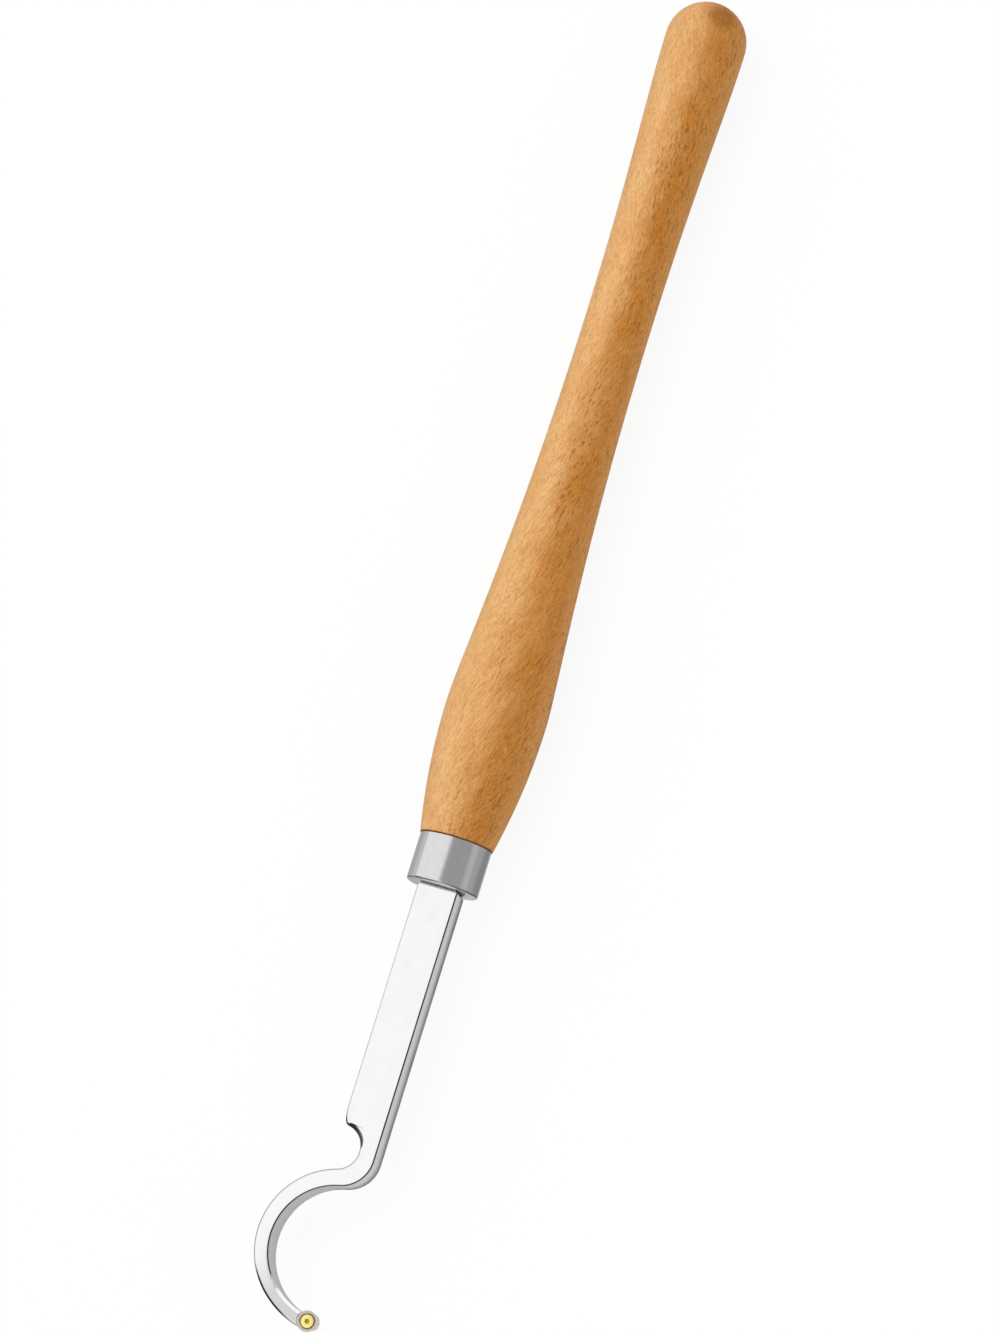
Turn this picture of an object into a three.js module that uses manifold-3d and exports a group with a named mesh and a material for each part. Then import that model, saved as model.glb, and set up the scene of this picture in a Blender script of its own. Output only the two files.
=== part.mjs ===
// Hollowing tool for wood turning: a turned wooden handle, a metal ferrule, a square swan-neck
// bar, and a round carbide cutter held on the bar's tip by a countersunk screw.
//
// Millimetres. +X runs along the tool towards the cutter, +Z is the side that the cutter's top
// face looks at, and the hook bulges towards -Y. The origin is the middle of the bar's flat
// underside, where it slides on the lathe's tool rest.

import * as THREE from 'three';
import { mergeVertices } from 'three/addons/utils/BufferGeometryUtils.js';
import Module from 'manifold-3d';

const wasm = await Module();
wasm.setup();

// Fits shared by all pieces
const looseFit = 0.3; // gap between a piece and the hole or pocket that it sits in
const overrun = 6; // how far a cut runs past the metal

// Square bar
const barSide = 15.875;
const barArris = 0.55; // broken edges of the bar
const shoulderChamfer = 0.9; // corners of the bar where it meets the ferrule
const restPoint = 45; // from the ferrule's end face to the origin

// Tang turned on the end of the bar
const tangRadius = 6.35;
const tangLength = 95;
const tangChamfer = 1;

// Hook and bends
const tipReach = 169.7; // from the ferrule's end face to the cutter's centre, along the axis
const hookOuterRadius = 30.85;
const hookAside = 3.8; // the hook's centre lies this far past the axis, on the open side
const armWidthNeck = 6.57; // where the hook leaves the bend
const armWidthSide = 5.6; // where it is furthest from the axis
const armWidthTip = 5.37; // next to the cutter
const noseRadius = 3.45; // rounded end of the arm under the cutter
const neckWidth = 6.6; // metal left beside the relief notch
const notchRadius = 8.5;
const notchLeadAlong = 8.5; // the eased corner between the bar's side and the notch
const notchLeadAcross = 2.5;
const bendRadius = 12.6; // rounded outer corner of the first bend

// Ramp that brings the arm's top face down to the cutter
const rampLength = 27.9; // from the corner of the ramp and the top face to the cutter's centre
const rampBlendRadius = 80; // rounds that corner
const rampTurnDegrees = 45; // the way the ramp runs, seen from above
const rampEdgeChamfer = 1.15; // bevel on the ramp's inner edge
const rampChamferLength = 16; // measured back from the cutter's centre
const noseReliefDegrees = 12; // the nose leans back under the cutter

// Round carbide cutter
const cutterRadius = 4;
const cutterThickness = 2.4;
const cutterClearanceDegrees = 15;
const cutterLand = 0.85; // flat ring round the countersink
const countersinkDepth = 1.3;
const cutterHoleRadius = 1.85;

// Cutter screw
const screwRadius = 1.45;
const screwLength = 7.4;
const screwHeadRadius = 2.5;
const screwHeadRim = 0.35;
const screwHeadDrop = 0.25; // the head lies this far below the cutter's top
const screwEndChamfer = 0.35;
const socketRadius = 0.98; // middle radius of the six-lobed socket
const socketLobe = 0.16;
const socketLobes = 6;
const socketDepth = 1.1;

// Ferrule
const ferruleRadius = 14.2;
const ferruleLength = 19;
const ferruleWall = 1.5;
const ferruleEndThickness = 2.2;
const ferruleRimRadius = 1.1;
const ferruleMouthChamfer = 0.3;

// Wooden handle
const gripLength = 356.9; // bare wood, from its rounded end to the ferrule
const buttRadius = 16.5;
const waistRadius = 13.3;
const waistFromButt = 139.9;
const bulgeRadius = 20;
const bulgeFromFerrule = 52.6;
const collarRadius = 14.55; // the wood where it meets the ferrule
const boreSpare = 3; // empty depth past the tang's end
const tenonChamfer = 0.6;

// The stretches between the handle's radii: how far each end of a stretch stays level, as
// shares of its length, and how steeply the wood runs down into the ferrule.
const buttToWaistShares = [0.22, 0.5];
const waistToBulgeShares = [0.58, 0.1];
const bulgeToCollarShares = [0.42, 0.25];
const collarFallShare = 0.2;

// Facets
const turnedFacets = 48;
const cutterFacets = 40;
const arcSteps = 14;
const rimSteps = 3;
const handleSteps = 9;
const socketSteps = 36;

// Places along the tool that several pieces share
const ferruleEnd = -restPoint;
const ferruleMouth = ferruleEnd - ferruleLength;
const buttEnd = ferruleMouth - gripLength;
const barTop = barSide;
const axisHeight = barSide / 2;
const cutterX = ferruleEnd + tipReach;
const cutterTop = axisHeight;
const seatHeight = cutterTop - cutterThickness;
const pocketRadius = cutterRadius + looseFit;
const shankHoleRadius = tangRadius + looseFit;

const degrees = Math.PI / 180;

// Colours as they look in daylight
const finishes = {
  beech: { color: 0xc9924f, roughness: 0.5, metalness: 0 },
  ferruleMetal: { color: 0xb9b9ba, roughness: 0.22, metalness: 1 },
  barSteel: { color: 0xd4d5d6, roughness: 0.15, metalness: 1 },
  carbide: { color: 0x8d8c88, roughness: 0.35, metalness: 0.8 },
  screwBrass: { color: 0xd9b048, roughness: 0.3, metalness: 1 },
};

// A closed geometry as a solid that can be cut and joined.
function solidOf(geometry) {
  const bare = geometry.clone();
  bare.deleteAttribute('normal');
  bare.deleteAttribute('uv');
  const merged = mergeVertices(bare);
  return new wasm.Manifold(new wasm.Mesh({
    numProp: 3,
    vertProperties: new Float32Array(merged.attributes.position.array),
    triVerts: new Uint32Array(merged.index.array),
  }));
}

function geometryOf(solid) {
  const mesh = solid.getMesh();
  const geometry = new THREE.BufferGeometry();
  geometry.setAttribute('position', new THREE.BufferAttribute(mesh.vertProperties, 3));
  geometry.setIndex(new THREE.BufferAttribute(mesh.triVerts, 1));
  return geometry;
}

// A profile of (radius, place along the axis) turned round the tool's own axis.
function turnedAlongX(points, facets) {
  const geometry = new THREE.LatheGeometry(points, facets);
  const layDown = new THREE.Matrix4().set(0, 1, 0, 0, 0, 0, 1, 0, 1, 0, 0, axisHeight, 0, 0, 0, 1);
  return geometry.applyMatrix4(layDown);
}

// A profile of (radius, height) turned round an upright axis through (x, 0).
function turnedUpright(points, facets, x) {
  const geometry = new THREE.LatheGeometry(points, facets);
  const standUp = new THREE.Matrix4().set(0, 0, 1, x, 1, 0, 0, 0, 0, 1, 0, 0, 0, 0, 0, 1);
  return geometry.applyMatrix4(standUp);
}

function pathPoints(path, steps) {
  const points = path.getPoints(steps);
  return points.filter((point, i) => i === 0 || point.distanceTo(points[i - 1]) > 0);
}

// The hook, worked out once for the bar's outline and for the cuts at its tip. Its outer arc
// ends tangent to the nose. The inner arc has its own centre, so that the arm tapers.
const hook = (() => {
  const centreRun = Math.sqrt((hookOuterRadius - noseRadius) ** 2 - hookAside ** 2);
  const outer = new THREE.Vector2(cutterX - centreRun, hookAside);
  const innerRadius = hookOuterRadius - (armWidthNeck + armWidthTip) / 2;
  const innerX = outer.x + (armWidthNeck - armWidthTip) / 2;
  const innerY = outer.y - hookOuterRadius + armWidthSide + innerRadius;
  const inner = new THREE.Vector2(innerX, innerY);
  return { outer, inner, innerRadius };
})();

// A circle of the given radius and sideways place that touches another from outside, on the
// handle's side of it.
function touchingCentre(centre, radius, touchingRadius, y) {
  const reach = radius + touchingRadius;
  return new THREE.Vector2(centre.x - Math.sqrt(reach ** 2 - (centre.y - y) ** 2), y);
}

function angleTo(from, to) {
  return Math.atan2(to.y - from.y, to.x - from.x);
}

// Plan of the bar from the shoulder to the nose. It runs down the hook's side of the bar, round
// the notch and the hook, and back along the open side.
function barPlan() {
  const half = barSide / 2;
  const nose = new THREE.Vector2(cutterX, 0);
  const notch = touchingCentre(hook.outer, hookOuterRadius, notchRadius, half - neckWidth - notchRadius);
  const bend = touchingCentre(hook.inner, hook.innerRadius, bendRadius, half - bendRadius);
  const cornerX = notch.x - notchRadius;
  const leadY = notchLeadAcross - half;
  const leadX = notch.x - Math.sqrt(notchRadius ** 2 - (leadY - notch.y) ** 2);
  const notchStart = angleTo(notch, new THREE.Vector2(leadX, leadY));
  const notchEnd = angleTo(notch, hook.outer);
  const noseStart = angleTo(hook.outer, nose);

  // Where the inner arc runs into the nose
  const gap = hook.inner.distanceTo(nose);
  const cosine = (gap ** 2 + hook.innerRadius ** 2 - noseRadius ** 2) / (2 * gap * hook.innerRadius);
  const innerStart = angleTo(hook.inner, nose) - Math.acos(cosine);
  const meeting = new THREE.Vector2(Math.cos(innerStart), Math.sin(innerStart));
  meeting.multiplyScalar(hook.innerRadius).add(hook.inner);
  const innerEnd = angleTo(hook.inner, bend);
  const bendStart = angleTo(bend, hook.inner);

  const plan = new THREE.Shape();
  plan.moveTo(ferruleEnd, shoulderChamfer - half);
  plan.lineTo(ferruleEnd + shoulderChamfer, -half);
  plan.lineTo(leadX - notchLeadAlong, -half);
  plan.quadraticCurveTo(cornerX, -half, leadX, leadY);
  plan.absarc(notch.x, notch.y, notchRadius, notchStart, notchEnd, true);
  plan.absarc(hook.outer.x, hook.outer.y, hookOuterRadius, notchEnd - Math.PI, noseStart, false);
  plan.absarc(nose.x, nose.y, noseRadius, noseStart, angleTo(nose, meeting), false);
  plan.absarc(hook.inner.x, hook.inner.y, hook.innerRadius, innerStart, innerEnd, true);
  plan.absarc(bend.x, bend.y, bendRadius, bendStart, Math.PI / 2, false);
  plan.lineTo(ferruleEnd + shoulderChamfer, half);
  plan.lineTo(ferruleEnd, half - shoulderChamfer);
  return plan;
}

function barBlank() {
  const geometry = new THREE.ExtrudeGeometry(barPlan(), {
    depth: barSide - 2 * barArris,
    bevelThickness: barArris,
    bevelSize: barArris,
    bevelOffset: -barArris,
    bevelSegments: 1,
    curveSegments: arcSteps,
  });
  geometry.translate(0, 0, barArris);
  return solidOf(geometry);
}

// The round tang runs a little way into the bar, so that the two join.
function tang() {
  const profile = [
    new THREE.Vector2(0, ferruleEnd - tangLength),
    new THREE.Vector2(tangRadius - tangChamfer, ferruleEnd - tangLength),
    new THREE.Vector2(tangRadius, ferruleEnd - tangLength + tangChamfer),
    new THREE.Vector2(tangRadius, ferruleEnd + overrun),
    new THREE.Vector2(0, ferruleEnd + overrun),
  ];
  return solidOf(turnedAlongX(profile, turnedFacets));
}

// The bar's end face is bevelled above and below, where it stands against the ferrule. The
// corners at its sides are in its plan.
function shoulderBevel(face, outward) {
  const side = new THREE.Shape();
  side.moveTo(ferruleEnd - looseFit, face - outward * (shoulderChamfer + looseFit));
  side.lineTo(ferruleEnd + shoulderChamfer + overrun, face + outward * overrun);
  side.lineTo(ferruleEnd - looseFit, face + outward * overrun);
  return standingAcross(side, 2 * barSide);
}

// A side view, drawn with x along the tool and y up, as a solid of the given width across it.
function standingAcross(side, width) {
  const geometry = new THREE.ExtrudeGeometry(side, {
    depth: width,
    bevelEnabled: false,
    curveSegments: arcSteps,
  });
  geometry.translate(0, 0, -width / 2);
  return geometry.rotateX(Math.PI / 2);
}

// The ramp falls evenly from its corner with the top face, so that it is level with the cutter's
// top at the edge of the cutter's pocket. A long arc rounds the corner.
const rampAngle = Math.atan2(barTop - cutterTop, rampLength - pocketRadius);
const rampStart = rampLength + rampBlendRadius * Math.tan(rampAngle / 2);
const rampHeading = new THREE.Matrix4().makeRotationZ(rampTurnDegrees * degrees).setPosition(cutterX, 0, 0);

// Everything above the ramp, turned to the ramp's heading.
function rampCut() {
  const pastTip = cutterRadius + overrun;
  const side = new THREE.Shape();
  side.moveTo(-rampStart, barTop);
  const upright = Math.PI / 2;
  side.absarc(-rampStart, barTop - rampBlendRadius, rampBlendRadius, upright, upright - rampAngle, true);
  side.lineTo(pastTip, barTop - (rampLength + pastTip) * Math.tan(rampAngle));
  side.lineTo(pastTip, barTop + overrun);
  side.lineTo(-rampStart, barTop + overrun);
  return solidOf(standingAcross(side, hookOuterRadius).applyMatrix4(rampHeading));
}

// Bevel along the ramp's inner edge: a coned ring round the hook's inner centre, sheared so
// that it follows the ramp, and kept only near the tip.
function rampChamferCut() {
  const radius = hook.innerRadius;
  const profile = [
    new THREE.Vector2(radius - overrun, -rampEdgeChamfer),
    new THREE.Vector2(radius, -rampEdgeChamfer),
    new THREE.Vector2(radius + rampEdgeChamfer, 0),
    new THREE.Vector2(radius + rampEdgeChamfer + overrun, overrun),
    new THREE.Vector2(radius - overrun, overrun),
    new THREE.Vector2(radius - overrun, -rampEdgeChamfer),
  ];
  const ring = turnedUpright(profile, 2 * turnedFacets, hook.inner.x);
  ring.translate(0, hook.inner.y, cutterTop);
  const slope = Math.tan(rampAngle);
  const alongX = -slope * Math.cos(rampTurnDegrees * degrees);
  const alongY = -slope * Math.sin(rampTurnDegrees * degrees);
  const lift = -alongX * cutterX - slope * pocketRadius;
  ring.applyMatrix4(new THREE.Matrix4().set(1, 0, 0, 0, 0, 1, 0, 0, alongX, alongY, 1, lift, 0, 0, 0, 1));
  const keep = new THREE.BoxGeometry(rampChamferLength, 2 * hook.innerRadius, 2 * barSide);
  keep.translate(-rampChamferLength / 2, 0, barSide / 2);
  keep.applyMatrix4(rampHeading);
  return solidOf(ring).intersect(solidOf(keep));
}

// Round pocket that the cutter sits in, and the hole for its screw.
function cutterPocket() {
  const holeRadius = screwRadius + looseFit;
  const profile = [
    new THREE.Vector2(0, -overrun),
    new THREE.Vector2(holeRadius, -overrun),
    new THREE.Vector2(holeRadius, seatHeight),
    new THREE.Vector2(pocketRadius, seatHeight),
    new THREE.Vector2(pocketRadius, barTop + overrun),
    new THREE.Vector2(0, barTop + overrun),
  ];
  return solidOf(turnedUpright(profile, cutterFacets, cutterX));
}

// The nose leans back below the seat, so that it clears the work.
function noseRelief() {
  const lean = noseReliefDegrees * degrees;
  const cut = new THREE.BoxGeometry(overrun, 2 * (noseRadius + overrun), 2 * barSide);
  cut.translate(overrun / 2, 0, -barSide);
  cut.rotateY(lean);
  cut.translate(cutterX + noseRadius, 0, seatHeight);
  return solidOf(cut);
}

function toolBar() {
  const shoulderBevels = [solidOf(shoulderBevel(barTop, 1)), solidOf(shoulderBevel(0, -1))];
  const cuts = [...shoulderBevels, rampCut(), rampChamferCut(), cutterPocket(), noseRelief()];
  const bar = cuts.reduce((rest, cut) => rest.subtract(cut), barBlank().add(tang()));
  return geometryOf(bar);
}

// Round cutter with its sides leaning in and a countersunk hole.
function carbideCutter() {
  const lean = cutterThickness * Math.tan(cutterClearanceDegrees * degrees);
  const profile = [
    new THREE.Vector2(cutterHoleRadius, seatHeight),
    new THREE.Vector2(cutterRadius - lean, seatHeight),
    new THREE.Vector2(cutterRadius, cutterTop),
    new THREE.Vector2(cutterRadius - cutterLand, cutterTop),
    new THREE.Vector2(cutterHoleRadius, cutterTop - countersinkDepth),
    new THREE.Vector2(cutterHoleRadius, seatHeight),
  ];
  return turnedUpright(profile, cutterFacets, cutterX);
}

// Countersunk screw. The cone under its head runs beside the cutter's countersink.
function cutterScrew() {
  const headTop = cutterTop - screwHeadDrop;
  const coneRise = countersinkDepth / (cutterRadius - cutterLand - cutterHoleRadius);
  const rimFoot = headTop - screwHeadRim;
  const coneFoot = rimFoot - (screwHeadRadius - screwRadius) * coneRise;
  const profile = [
    new THREE.Vector2(0, headTop - screwLength),
    new THREE.Vector2(screwRadius - screwEndChamfer, headTop - screwLength),
    new THREE.Vector2(screwRadius, headTop - screwLength + screwEndChamfer),
    new THREE.Vector2(screwRadius, coneFoot),
    new THREE.Vector2(screwHeadRadius, rimFoot),
    new THREE.Vector2(screwHeadRadius, headTop),
    new THREE.Vector2(0, headTop),
  ];
  const body = solidOf(turnedUpright(profile, cutterFacets, cutterX));
  const lobes = [];
  for (let i = 0; i < socketSteps; i += 1) {
    const turn = (i / socketSteps) * 2 * Math.PI;
    const radius = socketRadius + socketLobe * Math.cos(socketLobes * turn);
    lobes.push(new THREE.Vector2(radius * Math.cos(turn), radius * Math.sin(turn)));
  }
  const depth = socketDepth + overrun;
  const socket = new THREE.ExtrudeGeometry(new THREE.Shape(lobes), { depth, bevelEnabled: false });
  socket.translate(cutterX, 0, headTop - socketDepth);
  return geometryOf(body.subtract(solidOf(socket)));
}

// Metal cap over the handle's tenon: open towards the wood, with a hole for the tang in its end.
function ferrule() {
  const bore = ferruleRadius - ferruleWall;
  const outside = new THREE.Path();
  outside.moveTo(shankHoleRadius, ferruleEnd - ferruleEndThickness);
  outside.lineTo(bore, ferruleEnd - ferruleEndThickness);
  outside.lineTo(bore, ferruleMouth);
  outside.lineTo(ferruleRadius - ferruleMouthChamfer, ferruleMouth);
  outside.lineTo(ferruleRadius, ferruleMouth + ferruleMouthChamfer);
  const rimX = ferruleRadius - ferruleRimRadius;
  outside.absarc(rimX, ferruleEnd - ferruleRimRadius, ferruleRimRadius, 0, Math.PI / 2, false);
  outside.lineTo(shankHoleRadius, ferruleEnd);
  outside.lineTo(shankHoleRadius, ferruleEnd - ferruleEndThickness);
  return turnedAlongX(pathPoints(outside, rimSteps), turnedFacets);
}

// A stretch of the handle's side between two radii. Each end stays level for its share of the
// length, and the far end may fall instead.
function addStretch(path, from, to, shares, fallShare) {
  const length = to.y - from.y;
  const leaving = length * shares[0];
  const arriving = length * shares[1];
  path.bezierCurveTo(from.x, from.y + leaving, to.x + arriving * fallShare, to.y - arriving, to.x, to.y);
}

// Turned handle: round butt, slim waist, bulge, and a bored tenon inside the ferrule.
function handle() {
  const tenonRadius = ferruleRadius - ferruleWall - looseFit;
  const tenonEnd = ferruleEnd - ferruleEndThickness - looseFit;
  const boreEnd = ferruleEnd - tangLength - boreSpare;
  const belly = new THREE.Vector2(buttRadius, buttEnd + buttRadius);
  const waist = new THREE.Vector2(waistRadius, buttEnd + waistFromButt);
  const bulge = new THREE.Vector2(bulgeRadius, ferruleMouth - bulgeFromFerrule);
  const collar = new THREE.Vector2(collarRadius, ferruleMouth);
  const side = new THREE.Path();
  side.absarc(0, belly.y, buttRadius, -Math.PI / 2, 0, false);
  addStretch(side, belly, waist, buttToWaistShares, 0);
  addStretch(side, waist, bulge, waistToBulgeShares, 0);
  addStretch(side, bulge, collar, bulgeToCollarShares, collarFallShare);
  side.lineTo(tenonRadius, ferruleMouth);
  side.lineTo(tenonRadius, tenonEnd - tenonChamfer);
  side.lineTo(tenonRadius - tenonChamfer, tenonEnd);
  side.lineTo(shankHoleRadius, tenonEnd);
  side.lineTo(shankHoleRadius, boreEnd);
  side.lineTo(0, boreEnd);
  const points = pathPoints(side, handleSteps);
  points[0].x = 0;
  return turnedAlongX(points, turnedFacets);
}

function piece(name, geometry, finish) {
  const mesh = new THREE.Mesh(geometry, new THREE.MeshStandardMaterial(finish));
  mesh.name = name;
  return mesh;
}

const hollowingTool = new THREE.Group();
hollowingTool.add(
  piece('handle', handle(), finishes.beech),
  piece('ferrule', ferrule(), finishes.ferruleMetal),
  piece('tool_bar', toolBar(), finishes.barSteel),
  piece('carbide_cutter', carbideCutter(), finishes.carbide),
  piece('cutter_screw', cutterScrew(), finishes.screwBrass),
);

export default hollowingTool;
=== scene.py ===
"""Looks of a hollowing tool for wood turning: a turned beech handle, a bright ferrule, a ground
swan-neck bar, and a round carbide cutter under a gold screw, on a white studio floor.

Everything is in metres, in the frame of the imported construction: +X runs along the tool towards
the cutter, +Z is the side that the cutter's top looks at, and the hook bulges towards -Y."""

import math

import bmesh
import bpy
from bpy.props import FloatProperty, FloatVectorProperty, IntProperty, PointerProperty
from mathutils import Matrix, Vector
from mathutils.geometry import interpolate_bezier


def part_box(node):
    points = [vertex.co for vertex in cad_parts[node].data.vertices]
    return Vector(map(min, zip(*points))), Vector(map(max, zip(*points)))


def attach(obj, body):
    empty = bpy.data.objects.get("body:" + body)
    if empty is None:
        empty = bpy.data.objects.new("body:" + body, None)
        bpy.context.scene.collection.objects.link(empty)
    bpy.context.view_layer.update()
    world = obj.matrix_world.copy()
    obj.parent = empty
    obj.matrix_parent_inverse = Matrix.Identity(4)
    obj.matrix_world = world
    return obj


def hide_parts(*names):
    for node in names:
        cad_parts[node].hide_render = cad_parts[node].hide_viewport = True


bl_info = {
    "name": "Hollowing Tool Dresser",
    "version": (1, 0, 0),
    "blender": (4, 5, 0),
    "location": "View3D > Sidebar > Hollowing Tool",
    "description": "Models and finishes the pieces of a swan-neck hollowing tool",
    "category": "Object",
}

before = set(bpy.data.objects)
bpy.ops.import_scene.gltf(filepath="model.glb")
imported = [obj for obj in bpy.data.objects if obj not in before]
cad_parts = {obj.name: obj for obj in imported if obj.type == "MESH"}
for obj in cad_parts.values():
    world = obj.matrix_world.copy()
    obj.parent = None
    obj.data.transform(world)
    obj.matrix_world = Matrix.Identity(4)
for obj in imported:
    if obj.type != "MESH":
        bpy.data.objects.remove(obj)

MM = 0.001

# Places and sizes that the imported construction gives
HANDLE_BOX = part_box("handle")
FERRULE_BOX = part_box("ferrule")
BAR_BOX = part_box("tool_bar")
CUTTER_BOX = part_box("carbide_cutter")
SCREW_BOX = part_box("cutter_screw")
BUTT_END = HANDLE_BOX[0].x
TENON_END = HANDLE_BOX[1].x
FERRULE_MOUTH = FERRULE_BOX[0].x
FERRULE_END = FERRULE_BOX[1].x
FERRULE_RADIUS = (FERRULE_BOX[1].y - FERRULE_BOX[0].y) / 2
AXIS_HEIGHT = (FERRULE_BOX[0].z + FERRULE_BOX[1].z) / 2
TANG_END = BAR_BOX[0].x
BAR_SIDE = BAR_BOX[1].z - BAR_BOX[0].z
BAR_TOP = BAR_BOX[1].z
CUTTER_X = (CUTTER_BOX[0].x + CUTTER_BOX[1].x) / 2
CUTTER_TOP = CUTTER_BOX[1].z
CUTTER_RADIUS = (CUTTER_BOX[1].x - CUTTER_BOX[0].x) / 2
SEAT_HEIGHT = CUTTER_BOX[0].z
HEAD_TOP = SCREW_BOX[1].z
SCREW_FOOT = SCREW_BOX[0].z
HEAD_RADIUS = (SCREW_BOX[1].x - SCREW_BOX[0].x) / 2
LOWEST = min(box[0].z for box in (HANDLE_BOX, FERRULE_BOX, BAR_BOX))

LAMP_AIM = Vector((-0.15, 0.0, 0.0))
LOOSE_FIT = 0.3 * MM
OVERRUN = 6 * MM
MERGE = 0.5e-6
QUARTER = math.pi / 2
WHITE = (1.0, 1.0, 1.0, 1.0)

# Facets along the bar, the same number on both of its sides, and round its corners
CHAMFER_STEPS = 4
SHANK_STEPS = 12
LEAD_STEPS = 12
NOTCH_STEPS = 18
BEND_STEPS = 20
HOOK_STEPS = 110
NOSE_STEPS = 12
CORNER_STEPS = 4
NOSE_GAP = 0.03  # share of the nose's turn by which each side stops short of its middle
EDGE_STRIP = 0.2 * MM  # polished strip of the top beside the dark left edge

# How dark the painted shade on the steel is: the painted dark reflection of the shadowed floor at the
# foot of the right side, fading along the hook, and the painted shadow in the gap on the shoulder's
# sections
FOOT_PAINTED_SHADE = 0.75
FOOT_LEAST = 0.15
FOOT_FADE_STEPS = 12
SHOULDER_PAINTED_SHADOW = (1.0, 0.3, 0.18, 0.18, 0.4)
SHOULDER_SIDE_PAINTED_SHADOW = 0.9

THREAD_STEPS = 28  # facets in one turn of thread
THREAD_SUNK = 0.06 * MM  # how far the thread's section starts inside the shank
SOCKET_STEPS = 72
SOCKET_LOBES = 6
SOCKET_CONE = 0.3 * MM  # depth of the socket's coned floor


def length(description, millimetres):
    """A size that a user would change, given in millimetres."""
    unit = {"unit": "LENGTH", "subtype": "DISTANCE", "precision": 5}
    return FloatProperty(description=description, default=millimetres * MM, min=0.0, **unit)


def angle(description, degrees):
    unit = {"unit": "ROTATION", "subtype": "ANGLE"}
    return FloatProperty(description=description, default=math.radians(degrees), **unit)


def power(description, watts):
    return FloatProperty(description=description, default=watts, unit="POWER")


def share(description, value):
    return FloatProperty(description=description, default=value, min=0.0, max=1.0, subtype="FACTOR")


def count(description, value):
    return IntProperty(description=description, default=value, min=3)


def vector(description, x, y, z):
    return FloatVectorProperty(description=description, default=(x, y, z), subtype="XYZ")


def colour(description, red, green, blue):
    settings = {"size": 4, "min": 0.0, "max": 1.0, "subtype": "COLOR"}
    return FloatVectorProperty(description=description, default=(red, green, blue, 1.0), **settings)


class HandleLook(bpy.types.PropertyGroup):
    """Sizes and colours of the turned beech handle"""

    butt_radius: length("Radius of the rounded end", 16.5)
    waist_radius: length("Slimmest part of the grip", 13.3)
    waist_from_butt: length("From the rounded end to the waist", 139.9)
    bulge_radius: length("Thickest part of the grip", 20.0)
    bulge_from_ferrule: length("From the ferrule back to the bulge", 52.6)
    collar_radius: length("The wood where it meets the ferrule", 14.55)
    collar_arris: length("Rounding of the wood's end at the ferrule", 0.3)
    tenon_radius: length("The wood inside the ferrule", 12.4)
    bore_radius: length("Hole for the tang", 6.65)
    tenon_chamfer: length("Bevel of the tenon's end", 0.6)
    bore_spare: length("Empty depth past the tang's end", 3.0)
    straw_wood: colour("Palest clouds of the beech", 0.81, 0.475, 0.195)
    rosy_wood: colour("Warmer clouds between them", 0.765, 0.405, 0.148)
    honey_wood: colour("The deep streak along the grip", 0.475, 0.172, 0.014)
    amber_wood: colour("The wood beside the streak", 0.73, 0.33, 0.080)
    end_wood: colour("Dark patch on the round butt", 0.31, 0.105, 0.0)
    fleck_wood: colour("Short dark slanted flecks", 0.28, 0.085, 0.0)
    knot_place: vector("Middle of the dark patch on the butt", -0.4115, 0.0065, 0.0212)
    knot_reach: length("From the dark patch's middle to where it fades out", 8.0)
    streak_turn: angle("Middle of the deep streak, from the top towards +Y", 33.0)
    grain_slant: angle("How far the grain turns from the length on the bulge", 20.0)
    turned_steps: count("Facets round the handle", 144)


class FerruleLook(bpy.types.PropertyGroup):
    """Sizes and colour of the metal ferrule"""

    wall: length("Thickness of its side", 1.5)
    end_thickness: length("Thickness of its end", 2.2)
    rim_radius: length("Rounding of its far rim", 1.1)
    mouth_radius: length("Rounding of its edge at the wood", 0.35)
    tang_hole: length("Radius of the hole in its end", 6.65)
    metal: colour("Bright plated metal", 0.74, 0.74, 0.745)
    # Colour of painted dark lines: painted shadow in the joint at the mouth and a painted dark
    # reflection on the rim
    painted_shade_metal: colour("Dark lines at its mouth and its rim", 0.10, 0.10, 0.10)
    turned_steps: count("Facets round the ferrule", 160)


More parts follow.
